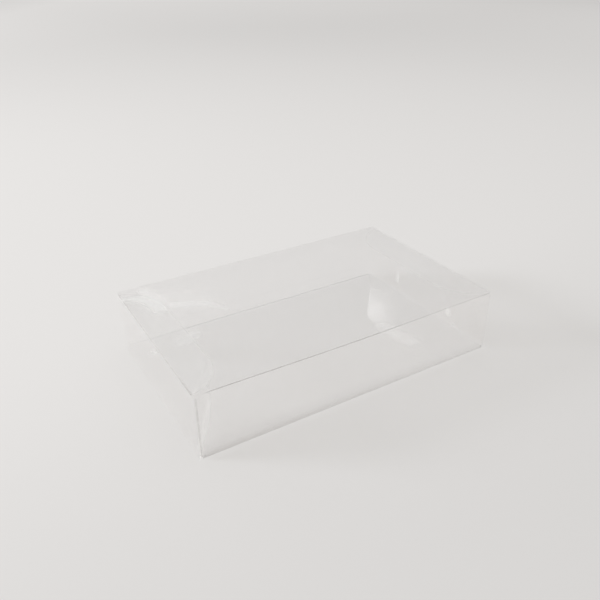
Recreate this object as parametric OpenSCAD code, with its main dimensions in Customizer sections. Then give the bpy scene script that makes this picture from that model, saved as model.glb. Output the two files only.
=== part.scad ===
// Clear folding carton with a tuck flap at each end, lying flat on its back panel.
// X runs along the length, Y from the front wall to the back wall, and Z up.
// The origin is the middle of the face that it rests on.

/* [Carton] */
// Length over the two end lids
carton_l = 160; // [120:1:240]
// Width of the two large panels
carton_w = 100; // [84:1:160]
// Height of the closed carton
carton_h = 33; // [26:1:50]

/* [Sheet] */
// Thickness of the plastic sheet
sheet_t = 0.3; // [0.2:0.05:0.5]
// Outside radius of a folded crease
fold_r = 0.8; // [0.7:0.1:1.2]

/* [Glue seam] */
// Width of the flap that is glued inside the back panel
seam_w = 11; // [6:0.5:18]
// Setback of the glue flap's free corners
seam_taper = 6; // [2:0.5:10]

/* [Dust flaps] */
// Depth of a dust flap from its crease
dust_d = 30; // [20:0.5:36]
// Slope of a dust flap's upper edge
dust_slope = 4; // [1:0.5:8]
// Radius of a dust flap's lower free corner
dust_r_low = 9; // [4:0.5:12]
// Radius of a dust flap's upper free corner
dust_r_high = 3; // [1:0.5:5]
// Angle that the front flap at the left end has sprung inwards past square
spring_front = 33; // [0:1:40]
// Angle that the back flap at the left end has sprung inwards past square
spring_back = 34; // [0:1:40]

/* [Tuck flaps] */
// Depth of a tuck flap from its crease
tuck_d = 17; // [12:0.5:20]
// Radius of a tuck flap's free corners
tuck_r = 22; // [18:0.5:28]
// Dip of a tuck flap below level, as it rests
tuck_dip = 3.4; // [2:0.1:5]

/* [Fits] */
// Clearance between a closed lid and the dust flaps behind it
lid_gap = 0.3; // [0.2:0.05:0.6]
// Clearance between a tuck flap and the panel that it slides under
tuck_gap = 0.4; // [0.2:0.05:0.6]
// Clearance between a tuck flap and the walls on its two sides
side_gap = 1.5; // [0.8:0.1:2.5]
// Open line of a crease that a lid or tuck flap turns on
crease_gap = 0.15; // [0.1:0.05:0.3]
// Relief between a dust flap and the creases above and below it
flap_relief = 0.4; // [0.2:0.1:1]

/* [Hidden] */
$fn = 64;
sheet_colour = [0.88, 0.92, 0.93, 0.45];
fold_in = fold_r - sheet_t;
quarter = 90;
past = 1;
// Half lengths: over the lids, to the creases of the dust flaps, and of the straight walls
half_l = carton_l / 2;
half_w = carton_w / 2;
dust_x = half_l - sheet_t - lid_gap;
wall_x = dust_x - fold_r;
// Levels: the dust flaps' lower edge and upper shoulder, and the inner corner of a tuck crease
dust_z0 = fold_r + flap_relief;
dust_z1 = carton_h - fold_r - 2 * flap_relief;
tuck_z = carton_h - sheet_t - tuck_gap - sheet_t;
// Half widths of a lid and of a tuck flap at its crease
lid_y = half_w - flap_relief;
tuck_y = half_w - sheet_t - side_gap;
lid_corner_r = 2;

// A quarter of a folded crease's section, from start to start + 90 degrees
module crease_section(start) {
    rotate(start)
        intersection() {
            difference() {
                circle(fold_r);
                circle(fold_in);
            }
            square(fold_r + past);
        }
}

// Section of the four walls, across Y and up Z, with the seam crease above the back panel's edge
module wall_section() {
    flat_y = half_w - fold_r;
    seam_z = sheet_t + fold_r;
    // Back panel, which lies underneath, out to its raw edge
    translate([-flat_y, 0])
        square([flat_y + half_w, sheet_t]);
    translate([-flat_y, fold_r])
        crease_section(2 * quarter);
    // Front side wall
    translate([-half_w, fold_r])
        square([sheet_t, carton_h - 2 * fold_r]);
    translate([-flat_y, carton_h - fold_r])
        crease_section(quarter);
    // Front panel, which lies on top
    translate([-flat_y, carton_h - sheet_t])
        square([2 * flat_y, sheet_t]);
    translate([flat_y, carton_h - fold_r])
        crease_section(0);
    // Rear side wall, down to the crease of the glue flap
    translate([half_w - sheet_t, seam_z])
        square([sheet_t, carton_h - fold_r - seam_z]);
    translate([flat_y, seam_z])
        crease_section(3 * quarter);
}

// Glue flap, bonded flat inside the back panel, with its two free corners cut back
module glue_flap() {
    crease_y = half_w - fold_r;
    free_y = half_w - seam_w;
    translate([0, 0, sheet_t])
        linear_extrude(sheet_t)
            polygon([
                [-wall_x, crease_y],
                [wall_x, crease_y],
                [wall_x - seam_taper, free_y],
                [-wall_x + seam_taper, free_y]
            ]);
}

// End strips of the two large panels, which reach over the lids' creases
module panel_ends() {
    for (side = [-1, 1])
        for (z = [0, carton_h - sheet_t])
            translate([side * (wall_x + half_l) / 2, 0, z + sheet_t / 2])
                cube([half_l - wall_x, carton_w - 2 * fold_r, sheet_t], center = true);
}

// Die-cut outline of a dust flap, from its crease along X and at its own height along Y
module dust_outline() {
    straight = dust_d - fold_r;
    drop = straight * tan(dust_slope);
    low = [straight - dust_r_low, dust_z0 + dust_r_low];
    high_x = straight - dust_r_high;
    high = [high_x, dust_z1 - high_x * tan(dust_slope) - dust_r_high / cos(dust_slope)];
    difference() {
        polygon([
            [0, dust_z0],
            [straight, dust_z0],
            [straight, dust_z1 - drop],
            [0, dust_z1]
        ]);
        difference() {
            translate([low[0], dust_z0 - past])
                square([dust_r_low + past, dust_r_low + past]);
            translate(low)
                circle(dust_r_low);
        }
        difference() {
            polygon([
                high,
                high + [sin(dust_slope), cos(dust_slope)] * (dust_r_high + past),
                high + [dust_r_high + past, dust_r_high + past],
                high + [dust_r_high + past, 0]
            ]);
            translate(high)
                circle(dust_r_high);
        }
    }
}

// Dust flap at the left end of the front side wall, folded square and then sprung inwards
module dust_flap(spring) {
    translate([-wall_x, -half_w + fold_r, 0]) {
        translate([0, 0, dust_z0])
            rotate(2 * quarter - spring)
                rotate_extrude(angle = quarter + spring)
                    translate([fold_in, 0])
                        square([sheet_t, dust_z1 - dust_z0]);
        rotate(quarter - spring)
            translate([0, fold_r, 0])
                rotate([quarter, 0, 0])
                    linear_extrude(sheet_t)
                        dust_outline();
    }
}

module dust_flaps() {
    dust_flap(spring_front);
    mirror([0, 1, 0])
        dust_flap(spring_back);
    mirror([1, 0, 0])
        dust_flap(0);
    mirror([1, 0, 0])
        mirror([0, 1, 0])
            dust_flap(0);
}

// The folded and glued sheet without its lids
module carton_body() {
    color(sheet_colour)
        union() {
            translate([-wall_x, 0, 0])
                rotate([quarter, 0, quarter])
                    linear_extrude(2 * wall_x)
                        wall_section();
            glue_flap();
            panel_ends();
            dust_flaps();
        }
}

// End lid on the back panel's crease, standing closed at the left end
module lid() {
    lid_z0 = sheet_t + crease_gap;
    lid_z1 = tuck_z - crease_gap;
    corner = [lid_y - lid_corner_r, lid_z1 - lid_corner_r];
    translate([-half_l, 0, 0])
        rotate([quarter, 0, quarter])
            linear_extrude(sheet_t)
                difference() {
                    translate([-lid_y, lid_z0])
                        square([2 * lid_y, lid_z1 - lid_z0]);
                    for (side = [0, 1])
                        mirror([side, 0])
                            difference() {
                                translate(corner)
                                    square(lid_corner_r + past);
                                translate(corner)
                                    circle(lid_corner_r);
                            }
                }
}

// Tuck flap on the lid's upper crease, slid in under the front panel at the left end
module tuck_flap() {
    round_x = tuck_d - tuck_r;
    round_y = tuck_y - tuck_r;
    translate([-half_l + sheet_t, 0, tuck_z])
        rotate([0, tuck_dip, 0])
            translate([-sheet_t, 0, 0])
                linear_extrude(sheet_t)
                    intersection() {
                        translate([0, -half_w])
                            square([tuck_d, carton_w]);
                        union() {
                            translate([round_x, -round_y])
                                square([tuck_r, 2 * round_y]);
                            for (side = [-1, 1])
                                translate([round_x, side * round_y])
                                    circle(tuck_r);
                        }
                    }
}

module left_lid() {
    color(sheet_colour)
        lid();
}

module left_tuck_flap() {
    color(sheet_colour)
        tuck_flap();
}

module right_lid() {
    color(sheet_colour)
        mirror([1, 0, 0])
            lid();
}

module right_tuck_flap() {
    color(sheet_colour)
        mirror([1, 0, 0])
            tuck_flap();
}

carton_body();
left_lid();
left_tuck_flap();
right_lid();
right_tuck_flap();
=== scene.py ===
"""Clear folding carton on a pale table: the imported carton, dressed as thin clear plastic sheet."""

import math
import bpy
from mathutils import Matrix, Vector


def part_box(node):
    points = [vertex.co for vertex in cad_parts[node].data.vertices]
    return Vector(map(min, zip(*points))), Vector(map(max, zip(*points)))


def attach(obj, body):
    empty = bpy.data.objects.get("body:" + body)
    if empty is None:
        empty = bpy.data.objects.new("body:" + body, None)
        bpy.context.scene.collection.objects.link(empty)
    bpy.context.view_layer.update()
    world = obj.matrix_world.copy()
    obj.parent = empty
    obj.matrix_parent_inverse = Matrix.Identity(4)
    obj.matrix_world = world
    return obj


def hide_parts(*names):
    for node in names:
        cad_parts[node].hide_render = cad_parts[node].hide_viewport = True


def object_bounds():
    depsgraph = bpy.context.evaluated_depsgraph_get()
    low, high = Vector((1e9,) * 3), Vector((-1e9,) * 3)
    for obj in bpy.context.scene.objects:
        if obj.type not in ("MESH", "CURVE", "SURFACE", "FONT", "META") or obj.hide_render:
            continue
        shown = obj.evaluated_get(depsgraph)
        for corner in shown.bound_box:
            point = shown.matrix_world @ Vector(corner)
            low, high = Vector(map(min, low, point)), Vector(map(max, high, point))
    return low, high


bl_info = {
    "name": "Clear Folding Carton",
    "version": (1, 0, 0),
    "blender": (4, 5, 0),
    "location": "View3D > Sidebar > Carton",
    "description": "Dresses a packed folding carton as clear plastic sheet and sets it on a pale table",
    "category": "Object",
}

import bmesh
import bpy
from mathutils import Matrix, Vector
from mathutils.bvhtree import BVHTree

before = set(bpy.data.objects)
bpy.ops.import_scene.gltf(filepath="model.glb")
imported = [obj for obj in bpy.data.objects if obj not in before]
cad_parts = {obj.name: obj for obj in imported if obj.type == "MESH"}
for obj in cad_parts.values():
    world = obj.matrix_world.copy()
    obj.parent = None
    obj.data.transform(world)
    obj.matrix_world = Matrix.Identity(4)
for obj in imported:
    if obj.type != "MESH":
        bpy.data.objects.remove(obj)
CAD_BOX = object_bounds()
MM = 0.001

# Half length, half width and height of the closed carton, which stands on the origin
HALF_L, HALF_W, HEIGHT = CAD_BOX[1]
# The sheet's thickness and the fold's outside radius, as the solids have them
SHEET_T = 0.3 * MM
FOLD_R = 0.8 * MM
# Distance from an end of the carton to where its side walls start to fold
END_FOLD = 1.4 * MM
# A tuck flap's depth, corner radius and half width, as the solids have them
TUCK_D = 17 * MM
TUCK_R = 22 * MM
TUCK_Y = 48.2 * MM

# Points nearer to each other than this are one point
TOUCH = 0.001 * MM
# Faces that meet at less than this, in degrees, are one face
FLAT_ANGLE = 0.5
# Edges with more than this between their faces, in degrees, look sharp
SHARP_ANGLE = 32
# A face smaller than this gets no band along its edges
SMALL_FACE = 50 * MM * MM
# Spacing of the cuts through a tuck flap, and distance of a cut from a fold beside it
FINE_GRID = 1 * MM
FOLD_CUT = 0.25 * MM

# How worn each fold of the body is, from 0 to 1: wear makes the fold's gloss rougher, and the same level
# paints shade that darkens the light through the fold
TOP_FRONT_WEAR_AND_SHADE = 1.0
TOP_FRONT_RIGHT_WEAR_AND_SHADE = 0.6
TOP_REAR_WEAR_AND_SHADE = 0.1
BASE_FRONT_WEAR_AND_SHADE = 0.3
END_FRONT_LEFT_WEAR_AND_SHADE = 0.6
END_FRONT_RIGHT_WEAR_AND_SHADE = 0.35
END_REAR_WEAR_AND_SHADE = 0.05
# How worn the left tuck flap's fold is, which also sets the painted shade that darkens it
TUCK_FRONT_WEAR_AND_SHADE = 1.0
TUCK_MIDDLE_WEAR_AND_SHADE = 0.35
TUCK_REAR_WEAR_AND_SHADE = 0.7

# Height of the band of painted shade on the front wall, at its left and its right end
SHADE_BAND_LEFT = 12 * MM
SHADE_BAND_RIGHT = 6 * MM
# How dark the painted shade on the left tuck flap is beside its fold
TUCK_PAINTED_SHADE = 0.15

# How white the sheet is: frost beside a raised cut edge, painted light on the tuck flaps, a painted highlight
# along the left one's rear corner, and painted light at the foot and the top of the front left dust flap
RIM_HAZE = 0.01
LEFT_TUCK_PAINTED_LIGHT = 0.15
RIGHT_TUCK_PAINTED_LIGHT = 0.07
CORNER_PAINTED_GLINT = 0.85
DUST_FOOT_PAINTED_LIGHT = 0.15
DUST_TOP_PAINTED_LIGHT = 0.05
# Painted highlights and painted light patches on the body, in millimetres: start, end, half width and
# strength
PAINTED_GLINTS = (
    # Front panel, around the rear corner of the left tuck flap
    ((-60, 23, 33), (-45, 16, 33), 4.0, 0.24),
    ((-45, 16, 33), (-40, 8, 33), 3.0, 0.12),
    ((-62, 30, 33), (-50, 24, 33), 16.0, 0.08),
    ((-68, 44, 33), (-63, 30, 33), 4.5, 0.24),
    # Back panel
    ((47.5, -7, 0.3), (51, -26, 0.3), 7.0, 0.14),
    ((-53, 38, 0.6), (-45, 42, 0.6), 6.0, 0.24),
    # Foot of the rear left dust flap, and the lower front left corner
    ((-69.5, 36.5, 1.2), (-68.5, 35, 1.5), 2.0, 0.6),
    ((-79.6, -49.6, 0), (-79.6, -49.6, 1), 1.2, 0.6),
    # Right dust flaps
    ((79.3, -22.6, 7), (79.3, -22.6, 9), 2.6, 0.09),
    ((79.3, -27, 2.2), (79.3, -27.5, 2), 1.4, 0.06),
    ((79.3, -31.5, 1.3), (79.3, -32, 1.3), 1.4, 0.06),
    ((79.3, 21.2, 8), (79.3, 21.2, 11), 2.2, 0.08),
)
# Share of a mark's half width that has its full strength
GLINT_CORE = 0.2

# The table's half width, and its middle, which lies just below the carton
TABLE_REACH = 2.8
TABLE_MIDDLE = (0.4, 0.2, -0.2 * MM)
# The low lamp's direction, distance and size, and the window's place, aim and size
LOW_LAMP_FROM = (-0.81, 0.50, 0.342)
LOW_LAMP_AWAY = 6.0
LOW_LAMP_SIZE = (1.7, 1.2)
WINDOW_PLACE = (-0.328, 0.584, 0.436)
WINDOW_AIM = (0.05, 0.02, 0)
WINDOW_SIZE = (0.085, 0.085)
# Where the room is brightest, and its light's colour
ROOM_BRIGHT_FROM = (-0.6, 0.7, 0.4)
ROOM_COLOUR = (1.0, 0.992, 0.985)
# The camera's place, and its turn to the right of +Y, its dip and its roll in degrees
CAMERA_PLACE = (-0.14315, -0.23940, 0.18540)
CAMERA_TURN = 30.5498
CAMERA_DIP = 29.3863
CAMERA_ROLL = -0.6964
# How many faces of the sheet a ray can cross
BOUNCES = 32


class CartonSheet(bpy.types.PropertyGroup):
    """Clear plastic sheet of the carton"""

    tint: bpy.props.FloatVectorProperty(
        name="Tint",
        description="Colour that light takes through one face of the sheet",
        subtype="COLOR",
        size=3,
        min=0.0,
        max=1.0,
        default=(0.999, 0.998, 0.9975),
    )
    # The crease colour is painted shade: it darkens the light through a worn fold
    crease: bpy.props.FloatVectorProperty(
        name="Crease",
        description="Colour that light takes through a worn fold",
        subtype="COLOR",
        size=3,
        min=0.0,
        max=1.0,
        default=(0.80, 0.79, 0.785),
    )
    # This white colours the frosted cut edges, and also the painted highlights and painted light on the sheet
    edge: bpy.props.FloatVectorProperty(
        name="White",
        description="Colour of the sheet's cut edges and white marks",
        subtype="COLOR",
        size=3,
        min=0.0,
        max=1.0,
        default=(0.98, 0.98, 0.97),
    )
    shade: bpy.props.FloatVectorProperty(
        name="Shade",
        description="Share of the lamps' light that one face of the sheet lets through",
        subtype="COLOR",
        size=3,
        min=0.0,
        max=1.0,
        default=(0.974, 0.973, 0.971),
    )
    ior: bpy.props.FloatProperty(
        name="Index of Refraction",
        description="Index of refraction of the plastic",
        default=1.57,
        min=1.3,
        max=1.8,
    )
    roughness: bpy.props.FloatProperty(
        name="Roughness",
        description="Roughness of the flat sheet",
        subtype="FACTOR",
        default=0.1,
        min=0.0,
        max=1.0,
    )
    wave: bpy.props.FloatProperty(
        name="Waviness",
        description="Height of the sheet's gentle waves",
        subtype="DISTANCE",
        default=0.03 * MM,
        min=0.0,
        max=1 * MM,
    )
    # Scales the white frost and the painted highlights and painted light on the sheet
    haze_and_glint: bpy.props.FloatProperty(
        name="Haze",
        description="How white the sheet looks where it is marked most",
        subtype="FACTOR",
        default=1.0,
        min=0.0,
        max=1.0,
    )
    edge_scatter: bpy.props.FloatProperty(
        name="Edge Scatter",
        description="Share of the light that a cut edge scatters",
        subtype="FACTOR",
        default=0.01,
        min=0.0,
        max=1.0,
    )
    haze_width: bpy.props.FloatProperty(
        name="Edge Haze Width",
        description="Width of the pale band beside a cut edge",
        subtype="DISTANCE",
        default=1.2 * MM,
        min=0.1 * MM,
        max=2 * MM,
    )


class CartonForm(bpy.types.PropertyGroup):
    """How far the folded panels stray from flat"""

    front_sag: bpy.props.FloatProperty(
        name="Crease Sag",
        description="Sag of the upper front crease at the middle of its length",
        subtype="DISTANCE",
        default=0.8 * MM,
        min=0.0,
        max=3 * MM,
    )
    top_sag: bpy.props.FloatProperty(
        name="Top Sag",
        description="Sag of the front panel, which lies on top, at its middle",
        subtype="DISTANCE",
        default=1.0 * MM,
        min=0.0,
        max=3 * MM,
    )
    wall_bow: bpy.props.FloatProperty(
        name="Wall Bow",
        description="How far a side wall bows inwards at the middle of its length",
        subtype="DISTANCE",
        default=0.7 * MM,
        min=0.0,
        max=3 * MM,
    )
    grid: bpy.props.FloatProperty(
        name="Grid",
        description="Spacing of the cuts that let a panel bow",
        subtype="DISTANCE",
        default=2 * MM,
        min=1 * MM,
        max=20 * MM,
    )


class CartonStage(bpy.types.PropertyGroup):
    """Table, light and camera"""

    table: bpy.props.FloatVectorProperty(
        name="Table",
        description="Colour of the table",
        subtype="COLOR",
        size=3,
        min=0.0,
        max=1.0,
        default=(0.80, 0.787, 0.775),
    )
    low_power: bpy.props.FloatProperty(
        name="Low Lamp",
        description="Power of the low broad lamp at the left",
        subtype="POWER",
        default=445.0,
        min=0.0,
        max=2000.0,
    )
    window_power: bpy.props.FloatProperty(
        name="Window",
        description="Power of the small bright lamp at the rear left",
        subtype="POWER",
        default=0.11,
        min=0.0,
        max=100.0,
    )
    room_bright: bpy.props.FloatProperty(
        name="Room Light, Rear Left",
        description="Strength of the room's light where it is brightest",
        default=0.62,
        min=0.0,
        max=2.0,
    )
    room_dark: bpy.props.FloatProperty(
        name="Room Light, Front Right",
        description="Strength of the room's light where it is weakest",
        default=0.40,
        min=0.0,
        max=2.0,
    )
    lens: bpy.props.FloatProperty(
        name="Lens",
        description="Focal length of the camera on a 36 mm sensor",
        subtype="DISTANCE_CAMERA",
        default=37.98,
        min=10.0,
        max=200.0,
    )


class Value:
    """A shader socket that can be used in a Python expression"""

    def __init__(self, tree, socket):
        self.tree = tree
        self.socket = socket

    def _math(self, operation, first, second):
        return add_node(self.tree, "ShaderNodeMath", {"operation": operation}, {0: first, 1: second})

    def __add__(self, other):
        return self._math("ADD", self, other)

    def __radd__(self, other):
        return self._math("ADD", other, self)

    def __sub__(self, other):
        return self._math("SUBTRACT", self, other)

    def __rsub__(self, other):
        return self._math("SUBTRACT", other, self)

    def __mul__(self, other):
        return self._math("MULTIPLY", self, other)

    def __rmul__(self, other):
        return self._math("MULTIPLY", other, self)

    def __pow__(self, other):
        return self._math("POWER", self, other)

    def larger(self, other):
        """The larger of this value and another"""
        return self._math("MAXIMUM", self, other)

    def ramp(self, start, end, first=0.0, last=1.0, smooth=True):
        """Goes from the first level to the last as this value goes from start to end"""
        settings = {"interpolation_type": "SMOOTHSTEP" if smooth else "LINEAR"}
        values = {"Value": self, "From Min": start, "From Max": end, "To Min": first, "To Max": last}
        return add_node(self.tree, "ShaderNodeMapRange", settings, values)


def add_node(tree, kind, settings=None, values=None, output=0):
    """Adds a node: its settings first, then the values or links of its sockets; gives one of its outputs"""
    node = tree.nodes.new(kind)
    for name, value in (settings or {}).items():
        setattr(node, name, value)
    for name, value in (values or {}).items():
        socket = getattr(value, "socket", value)
        if isinstance(socket, bpy.types.NodeSocket):
            tree.links.new(socket, node.inputs[name])
        else:
            node.inputs[name].default_value = socket
    return Value(tree, node.outputs[output])


def new_material(name):
    """An empty node material"""
    material = bpy.data.materials.new(name)
    material.use_nodes = True
    material.node_tree.nodes.clear()
    return material, material.node_tree


def show(tree, surface):
    """Joins a surface to the material's output"""
    output = tree.nodes.new("ShaderNodeOutputMaterial")
    tree.links.new(surface.socket, output.inputs["Surface"])


def own_place(tree):
    """A point's place on the piece, in metres"""
    return add_node(tree, "ShaderNodeTexCoord", output=3)


def along_axis(tree, axis):
    """How far a point lies along one axis: 0, 1 or 2 for X, Y or Z"""
    return add_node(tree, "ShaderNodeSeparateXYZ", {}, {"Vector": own_place(tree)}, output=axis)


def mark(tree, name):
    """A mark that the mesh keeps at each of its points"""
    return add_node(tree, "ShaderNodeAttribute", {"attribute_name": name}, output=2)


def see_through(tree, colour):
    """A surface that only colours what is seen through it"""
    return add_node(tree, "ShaderNodeBsdfTransparent", {}, {"Color": (*colour, 1.0)})


def blend(share, first, second):
    """A mix of two surfaces, with the second one's share"""
    return add_node(first.tree, "ShaderNodeMixShader", {}, {0: share, 1: first, 2: second})


def clear_plastic():
    """Clear sheet: glass to the eye, and a pale filter to the light that falls through it"""
    sheet = bpy.context.scene.carton_sheet
    material, tree = new_material("clear_sheet")
    place = own_place(tree)
    broken = add_node(
        tree,
        "ShaderNodeTexNoise",
        {},
        {"Vector": place, "Scale": 400.0, "Detail": 3.0, "Roughness": 0.7},
    )
    # Worn folds get a rougher gloss, and painted shade darkens the light through them
    worn_and_shaded = (mark(tree, "fold") * (broken + 0.4)).ramp(0.1, 1.3)
    # Painted shade above the front wall's lower fold and beside the left tuck flap's fold
    painted_shade_level = mark(tree, "painted_shade") * 0.55
    wave = add_node(tree, "ShaderNodeTexNoise", {}, {"Vector": place, "Scale": 45.0, "Detail": 1.0})
    wavy = add_node(tree, "ShaderNodeBump", {}, {"Height": wave, "Distance": sheet.wave, "Strength": 1.0})
    through = blend(worn_and_shaded.larger(painted_shade_level), see_through(tree, sheet.tint), see_through(tree, sheet.crease))
    gloss = add_node(
        tree,
        "ShaderNodeBsdfAnisotropic",
        {},
        {"Color": (1.0, 1.0, 1.0, 1.0), "Roughness": sheet.roughness + worn_and_shaded * 0.3, "Normal": wavy},
    )
    glassy = blend(mirror_share(tree, sheet.ior, wavy), through, gloss)
    # White frost at the cut edges, and painted highlights and painted light where the sheet is marked
    whitened = blend(mark(tree, "haze_and_glint") * sheet.haze_and_glint, glassy, white_scatter(tree))
    show(tree, let_light_through(tree, whitened))
    return material


def mirror_share(tree, ior, normal):
    """Share of the light that one face of the sheet mirrors, the same from within as from without"""
    straight = ((ior - 1) / (ior + 1)) ** 2
    facing = add_node(tree, "ShaderNodeLayerWeight", {}, {"Normal": normal}, output=1)
    return straight + (facing ** 5) * (1 - straight)


def white_scatter(tree):
    """White scattering layer, lit from both sides of the sheet: frost on the cut edges, and painted
    highlights and painted light where the sheet is marked
    """
    white = (*bpy.context.scene.carton_sheet.edge, 1.0)
    near = add_node(tree, "ShaderNodeBsdfDiffuse", {}, {"Color": white})
    far = add_node(tree, "ShaderNodeBsdfTranslucent", {}, {"Color": white})
    return blend(0.2, near, far)


def let_light_through(tree, surface):
    """The surface to the eye, and a pale filter to the light that falls through it, but not at the base"""
    shade = bpy.context.scene.carton_sheet.shade
    raised = along_axis(tree, 2).ramp(3 * SHEET_T, 5 * SHEET_T, smooth=False)
    filtered = blend(raised, see_through(tree, (1.0, 1.0, 1.0)), see_through(tree, shade))
    shadow = add_node(tree, "ShaderNodeLightPath", output=1)
    diffuse = add_node(tree, "ShaderNodeLightPath", output=2)
    return blend(shadow.larger(diffuse), surface, filtered)


def cut_plastic():
    """The sheet's cut edge, which scatters the light that runs inside the sheet"""
    material, tree = new_material("cut_edge")
    scatter = bpy.context.scene.carton_sheet.edge_scatter
    whitened = blend(scatter, see_through(tree, (1.0, 1.0, 1.0)), white_scatter(tree))
    show(tree, let_light_through(tree, whitened))
    return material


def fade(value, start, end):
    """1 at the start, falling smoothly to 0 at the end"""
    share = min(1.0, max(0.0, (value - end) / (start - end)))
    return share * share * (3 - 2 * share)


def fold_wear_and_shade(place):
    """How worn a fold of the body is at a point, which also sets its painted shade: 0 on flat sheet, most on
    the upper front fold
    """
    across = abs(place.y) - (HALF_W - FOLD_R)
    if across < 0:
        return 0.0
    front = place.y < 0
    top = place.z - (HEIGHT - FOLD_R)
    if top >= 0:
        return top_front_wear_and_shade(place.x, abs(across - top)) if front else TOP_REAR_WEAR_AND_SHADE
    base = FOLD_R - place.z if front else SHEET_T + FOLD_R - place.z
    if base >= 0:
        return BASE_FRONT_WEAR_AND_SHADE if front else 0.0
    if abs(place.x) < HALF_L - END_FOLD:
        return 0.0
    if not front:
        return END_REAR_WEAR_AND_SHADE
    return END_FRONT_RIGHT_WEAR_AND_SHADE if place.x > 0 else END_FRONT_LEFT_WEAR_AND_SHADE


def top_front_wear_and_shade(along, off_middle):
    """How worn the upper front fold is, which also sets its painted shade: along its middle line, less at the
    right, and not at its left end
    """
    middle = fade(off_middle, 0.1 * MM, 0.5 * MM)
    left = fade(along, 15 * MM, 40 * MM)
    level = TOP_FRONT_RIGHT_WEAR_AND_SHADE + (TOP_FRONT_WEAR_AND_SHADE - TOP_FRONT_RIGHT_WEAR_AND_SHADE) * left
    return middle * level * fade(along, -71 * MM, -78 * MM)


def wall_painted_shade(place):
    """How much painted shade the front wall has: a faint broad band and a darker narrow one above its lower
    fold
    """
    if place.y > -HALF_W + FOLD_R:
        return 0.0
    along = (place.x + HALF_L) / (2 * HALF_L)
    reach = SHADE_BAND_LEFT + (SHADE_BAND_RIGHT - SHADE_BAND_LEFT) * along
    broad = fade(place.z, 0.0, reach)
    narrow = fade(place.z, 0.0, 0.35 * reach)
    weaker_right = 1.0 - 0.3 * along
    return weaker_right * (0.35 * broad + 0.65 * narrow)


def near_line(place, start, end):
    """Distance of a point from the line between two points given in millimetres"""
    start, end = Vector(start) * MM, Vector(end) * MM
    along = end - start
    share = (place - start).dot(along) / along.length_squared
    return (place - start - along * min(1.0, max(0.0, share))).length


def rim_haze(place):
    """How white the sheet is beside a cut edge: not at all in the two large panels"""
    flat = place.z > HEIGHT - 2 * SHEET_T or place.z < 3 * SHEET_T
    return 0.0 if flat else RIM_HAZE


def body_painted_light(place):
    """Painted light on the carton's body: over its front left dust flap all over, and painted highlights and
    light patches along the listed marks elsewhere
    """
    if place.x < 0 and -HALF_W + FOLD_R < place.y < 0 and FOLD_R < place.z < HEIGHT - FOLD_R:
        return DUST_TOP_PAINTED_LIGHT + (DUST_FOOT_PAINTED_LIGHT - DUST_TOP_PAINTED_LIGHT) * fade(place.z, 5 * MM, 16 * MM)
    return max(
        strength * fade(near_line(place, start, end), width * GLINT_CORE * MM, width * MM)
        for start, end, width, strength in PAINTED_GLINTS
    )


def tuck_painted_light(place):
    """Painted light on a tuck flap: the left one most, with a painted highlight in a broad band along its
    rear corner
    """
    if place.x > 0:
        return RIGHT_TUCK_PAINTED_LIGHT
    middle = Vector((-HALF_L + TUCK_D - TUCK_R, TUCK_Y - TUCK_R, place.z))
    inwards = TUCK_R - (place - middle).length
    band = fade(abs(inwards - 3.5 * MM), 1.5 * MM, 5.5 * MM)
    corner = fade(place.y, 26 * MM, 18 * MM) * fade(place.y, 40 * MM, 46 * MM)
    return max(LEFT_TUCK_PAINTED_LIGHT, CORNER_PAINTED_GLINT * band * corner)


def tuck_wear_and_shade(place):
    """How worn a tuck flap's fold is, which also sets its painted shade: only the left one's, most at its
    front end, least in its middle
    """
    front = (TUCK_FRONT_WEAR_AND_SHADE - TUCK_MIDDLE_WEAR_AND_SHADE) * fade(place.y, -42 * MM, -28 * MM)
    rear = (TUCK_REAR_WEAR_AND_SHADE - TUCK_MIDDLE_WEAR_AND_SHADE) * fade(place.y, 22 * MM, 6 * MM)
    return (TUCK_MIDDLE_WEAR_AND_SHADE + front + rear) * fade(place.x + HALF_L, 0.4 * MM, 1.4 * MM)


def tuck_painted_shade(place):
    """How much painted shade a tuck flap has: only the left one, beside the rear part of its fold"""
    return TUCK_PAINTED_SHADE * fade(place.x + HALF_L, 1 * MM, 6 * MM) * fade(place.y, 14 * MM, 0.0)


def sag(place, form):
    """Where a point of the carton lies once its panels have sagged"""
    along = (1 - (place.x / HALF_L) ** 2) ** 2
    up = place.z / HEIGHT
    across = math.cos(place.y / HALF_W * math.pi / 2)
    front = (1 - place.y / HALF_W) / 2
    down = along * up * (form.front_sag * front + form.top_sag * across)
    inward = along * form.wall_bow * math.sin(math.pi * up) * (place.y / HALF_W)
    return place - Vector((0, inward, down))


def open_sheet(node, names):
    """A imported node's mesh with its triangles joined to whole faces, and a layer for each named mark"""
    form_mesh = bmesh.new()
    form_mesh.from_mesh(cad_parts[node].data)
    for name in names:
        form_mesh.verts.layers.float.new(name)
    bmesh.ops.remove_doubles(form_mesh, verts=form_mesh.verts, dist=TOUCH)
    bmesh.ops.dissolve_limit(
        form_mesh,
        angle_limit=math.radians(FLAT_ANGLE),
        verts=form_mesh.verts,
        edges=form_mesh.edges,
    )
    form_mesh.normal_update()
    return form_mesh


def rim_faces(form_mesh):
    """The faces of the sheet's cut edges: those with much more than a sheet's thickness behind them"""
    tree = BVHTree.FromBMesh(form_mesh)
    rims = set()
    for face in form_mesh.faces:
        start = face.calc_center_median() - face.normal * 10 * TOUCH
        depth = tree.ray_cast(start, -face.normal)[3]
        if depth is None or depth > 4 * SHEET_T:
            rims.add(face)
    return rims


def band_edges(form_mesh, rims):
    """Cuts a band along the edges of every broad face, so that the frost beside a cut edge stays narrow"""
    width = bpy.context.scene.carton_sheet.haze_width
    broad = [
        face
        for face in form_mesh.faces
        if face not in rims and face.calc_area() > max(SMALL_FACE, face.calc_perimeter() * width)
    ]
    bmesh.ops.inset_individual(form_mesh, faces=broad, thickness=width, use_even_offset=True)


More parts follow.
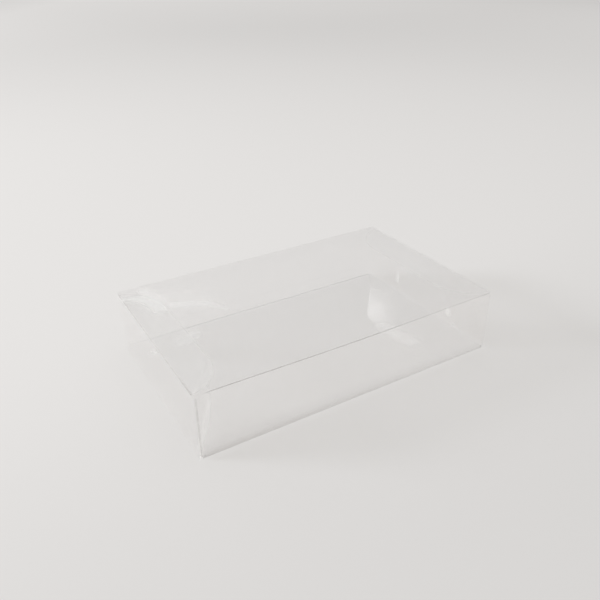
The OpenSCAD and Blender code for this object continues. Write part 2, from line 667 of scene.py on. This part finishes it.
def cut_grid(form_mesh, box, grid):
    """Cuts every face along planes across each axis, at the places that lie within a box"""
    low, high = box
    for axis, places in enumerate(grid):
        normal = Vector((0, 0, 0))
        normal[axis] = 1
        for place in places:
            if low[axis] < place < high[axis]:
                geometry = form_mesh.verts[:] + form_mesh.edges[:] + form_mesh.faces[:]
                bmesh.ops.bisect_plane(
                    form_mesh, geom=geometry, dist=TOUCH, plane_co=normal * place, plane_no=normal
                )


def mark_sheet(form_mesh, marks):
    """Works out each mark at every point of the sheet, with frost beside its cut edges"""
    layers = form_mesh.verts.layers.float
    rim_verts = {vert for face in form_mesh.faces if face.material_index == 1 for vert in face.verts}
    for vert in form_mesh.verts:
        for name, rule in marks.items():
            vert[layers[name]] = rule(vert.co)
        if "haze_and_glint" in marks and vert in rim_verts:
            vert[layers["haze_and_glint"]] = max(vert[layers["haze_and_glint"]], rim_haze(vert.co))


def sheet_piece(node, body, materials, marks=None, bend=None, grid=()):
    """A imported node's sheet, cut into a grid, marked and bent by rules, and shaded smooth over its folds"""
    marks = marks or {}
    form_mesh = open_sheet(node, marks)
    rims = rim_faces(form_mesh)
    for face in rims:
        face.material_index = 1
    band_edges(form_mesh, rims)
    cut_grid(form_mesh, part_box(node), grid)
    mark_sheet(form_mesh, marks)
    for vert in form_mesh.verts if bend else ():
        vert.co = bend(vert.co)
    mesh = bpy.data.meshes.new(node + "_sheet")
    form_mesh.to_mesh(mesh)
    form_mesh.free()
    mesh.shade_smooth()
    mesh.set_sharp_from_angle(angle=math.radians(SHARP_ANGLE))
    for material in materials:
        mesh.materials.append(material)
    piece = bpy.data.objects.new(node + "_sheet", mesh)
    bpy.context.scene.collection.objects.link(piece)
    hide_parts(node)
    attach(piece, body)


def steps(half, spacing, extra=()):
    """Places from -half to half at a spacing, with a few more"""
    count = int(half / spacing)
    return sorted({round(n * spacing, 7) for n in range(-count, count + 1)} | set(extra))


class CARTON_OT_body(bpy.types.Operator):
    """Fold the carton's body from clear sheet, with its panels slightly bowed"""

    bl_idname = "carton.body"
    bl_label = "Carton Body"

    def execute(self, context):
        form = context.scene.carton_form
        end = HALF_L - END_FOLD - FOLD_CUT
        side = HALF_W - FOLD_R - FOLD_CUT
        base = FOLD_R + FOLD_CUT
        heights = [n * form.grid for n in range(1, int(HEIGHT / form.grid))]
        grid = (
            steps(HALF_L, form.grid, (-end, end)),
            steps(HALF_W, form.grid, (-side, side)),
            [base, *heights, HEIGHT - base],
        )
        materials = [clear_plastic(), cut_plastic()]
        marks = {"fold": fold_wear_and_shade, "painted_shade": wall_painted_shade, "haze_and_glint": body_painted_light}
        sheet_piece("carton_body", "carton", materials, marks, lambda place: sag(place, form), grid)
        return {"FINISHED"}


class CARTON_OT_closures(bpy.types.Operator):
    """Cut the lids and tuck flaps of both ends from clear sheet"""

    bl_idname = "carton.closures"
    bl_label = "Lids and Tuck Flaps"

    def execute(self, context):
        grid = (steps(HALF_L, FINE_GRID), steps(HALF_W, FINE_GRID))
        marks = {"fold": tuck_wear_and_shade, "painted_shade": tuck_painted_shade, "haze_and_glint": tuck_painted_light}
        materials = [clear_plastic(), cut_plastic()]
        for side in ("left", "right"):
            sheet_piece(f"{side}_lid", f"{side}_lid", materials)
            sheet_piece(f"{side}_tuck_flap", f"{side}_tuck_flap", materials, marks, grid=grid)
        return {"FINISHED"}


class CARTON_OT_stage(bpy.types.Operator):
    """Set the table, the light and the camera"""

    bl_idname = "carton.stage"
    bl_label = "Table and Light"

    def execute(self, context):
        stage = context.scene.carton_stage
        lay_table(stage)
        light_room(stage)
        light_table(stage)
        place_camera(stage)
        scene = context.scene
        scene.view_settings.view_transform = "Standard"
        scene.cycles.max_bounces = BOUNCES
        scene.cycles.transmission_bounces = BOUNCES
        scene.cycles.transparent_max_bounces = BOUNCES
        return {"FINISHED"}


def lay_table(stage):
    """A broad pale table top just below the carton"""
    table = bmesh.new()
    bmesh.ops.create_grid(table, x_segments=1, y_segments=1, size=TABLE_REACH)
    bmesh.ops.translate(table, verts=table.verts, vec=TABLE_MIDDLE)
    mesh = bpy.data.meshes.new("table_top")
    table.to_mesh(mesh)
    table.free()
    top = bpy.data.objects.new("table_top", mesh)
    bpy.context.scene.collection.objects.link(top)
    mesh.materials.append(pale_table(stage.table))


def pale_table(table_colour):
    """Matt pale table, with painted shade and painted light in its colour: darker in front, far behind and
    toward the low lamp, and paler far to the right
    """
    material, tree = new_material("pale_table")
    along = along_axis(tree, 0)
    across = along_axis(tree, 1)
    toward = Vector(LOW_LAMP_FROM[:2]).normalized()
    # Painted shade and painted light: the table's colour follows how the light falls across it
    near = across.ramp(-0.16, 0.06, first=0.92)
    far = across.ramp(0.0, 1.4, first=1.0, last=0.86)
    right = (along + across * 0.4).ramp(0.9, 2.3, first=1.0, last=1.15)
    lit = (along * toward.x + across * toward.y).ramp(0.95, 3.7, first=1.0, last=0.22, smooth=False)
    colour = add_node(
        tree,
        "ShaderNodeMix",
        {"data_type": "RGBA", "clamp_factor": False},
        {"Factor": near * far * right * lit, 6: (0.0, 0.0, 0.0, 1.0), 7: (*table_colour, 1.0)},
        output=2,
    )
    surface = add_node(
        tree,
        "ShaderNodeBsdfPrincipled",
        {},
        {"Base Color": colour, "Roughness": 1.0, "Specular IOR Level": 0.0},
    )
    show(tree, surface)
    return material


def light_room(stage):
    """Soft light from the whole room, a little stronger from the rear left"""
    world = bpy.data.worlds.new("room")
    world.use_nodes = True
    tree = world.node_tree
    tree.nodes.clear()
    direction = add_node(tree, "ShaderNodeTexCoord", output=0)
    toward = add_node(
        tree,
        "ShaderNodeVectorMath",
        {"operation": "DOT_PRODUCT"},
        {0: direction, 1: Vector(ROOM_BRIGHT_FROM).normalized()},
        output=1,
    )
    glow = toward.ramp(-0.8, 1.0, stage.room_dark, stage.room_bright)
    sky = add_node(tree, "ShaderNodeBackground", {}, {"Color": (*ROOM_COLOUR, 1.0), "Strength": glow})
    output = tree.nodes.new("ShaderNodeOutputWorld")
    tree.links.new(sky.socket, output.inputs["Surface"])
    bpy.context.scene.world = world


def hang_lamp(name, place, aim, size, power, glints):
    """An oval lamp at a place, turned to face a point, that glints in the sheet or only lights it"""
    lamp = bpy.data.lights.new(name, "AREA")
    lamp.shape = "ELLIPSE"
    lamp.size, lamp.size_y = size
    lamp.energy = power
    thing = bpy.data.objects.new(name, lamp)
    turn = (Vector(aim) - Vector(place)).to_track_quat("-Z", "Y").to_matrix().to_4x4()
    thing.matrix_world = Matrix.Translation(place) @ turn
    thing.visible_glossy = glints
    bpy.context.scene.collection.objects.link(thing)


def light_table(stage):
    """A low broad lamp from the left that leaves no glint, and a small bright one behind it that does"""
    low_place = Vector(LOW_LAMP_FROM).normalized() * LOW_LAMP_AWAY
    hang_lamp("low_lamp", low_place, (0, 0, 0), LOW_LAMP_SIZE, stage.low_power, glints=False)
    hang_lamp("window", WINDOW_PLACE, WINDOW_AIM, WINDOW_SIZE, stage.window_power, glints=True)


def place_camera(stage):
    """The camera, looking along its line with its slight roll"""
    turn, dip, roll = (math.radians(angle) for angle in (CAMERA_TURN, CAMERA_DIP, CAMERA_ROLL))
    ahead = Vector((math.sin(turn) * math.cos(dip), math.cos(turn) * math.cos(dip), -math.sin(dip)))
    level = Vector((math.cos(turn), -math.sin(turn), 0))
    upright = level.cross(ahead)
    right = math.cos(roll) * level + math.sin(roll) * upright
    up = -math.sin(roll) * level + math.cos(roll) * upright
    lens = bpy.data.cameras.new("camera")
    lens.sensor_width = 36.0
    lens.lens = stage.lens
    lens.clip_start = 0.01
    camera = bpy.data.objects.new("camera", lens)
    axes = Matrix((right, up, -ahead)).transposed().to_4x4()
    camera.matrix_world = Matrix.Translation(CAMERA_PLACE) @ axes
    bpy.context.scene.collection.objects.link(camera)
    bpy.context.scene.camera = camera


class CARTON_PT_panel(bpy.types.Panel):
    """Lists the carton's sizes, colours and steps"""

    bl_idname = "CARTON_PT_panel"
    bl_label = "Carton"
    bl_space_type = "VIEW_3D"
    bl_region_type = "UI"
    bl_category = "Carton"

    def draw(self, context):
        layout = self.layout
        for group in (context.scene.carton_sheet, context.scene.carton_form, context.scene.carton_stage):
            box = layout.box()
            for name in group.__annotations__:
                box.prop(group, name)
        for operator in OPERATORS:
            layout.operator(operator.bl_idname)


OPERATORS = (CARTON_OT_body, CARTON_OT_closures, CARTON_OT_stage)
CLASSES = (CartonSheet, CartonForm, CartonStage, *OPERATORS, CARTON_PT_panel)


def register():
    for each in CLASSES:
        bpy.utils.register_class(each)
    bpy.types.Scene.carton_sheet = bpy.props.PointerProperty(type=CartonSheet)
    bpy.types.Scene.carton_form = bpy.props.PointerProperty(type=CartonForm)
    bpy.types.Scene.carton_stage = bpy.props.PointerProperty(type=CartonStage)


def unregister():
    del bpy.types.Scene.carton_stage
    del bpy.types.Scene.carton_form
    del bpy.types.Scene.carton_sheet
    for each in reversed(CLASSES):
        bpy.utils.unregister_class(each)


def main():
    register()
    bpy.ops.carton.body()
    bpy.ops.carton.closures()
    bpy.ops.carton.stage()


if __name__ == "__main__":
    main()
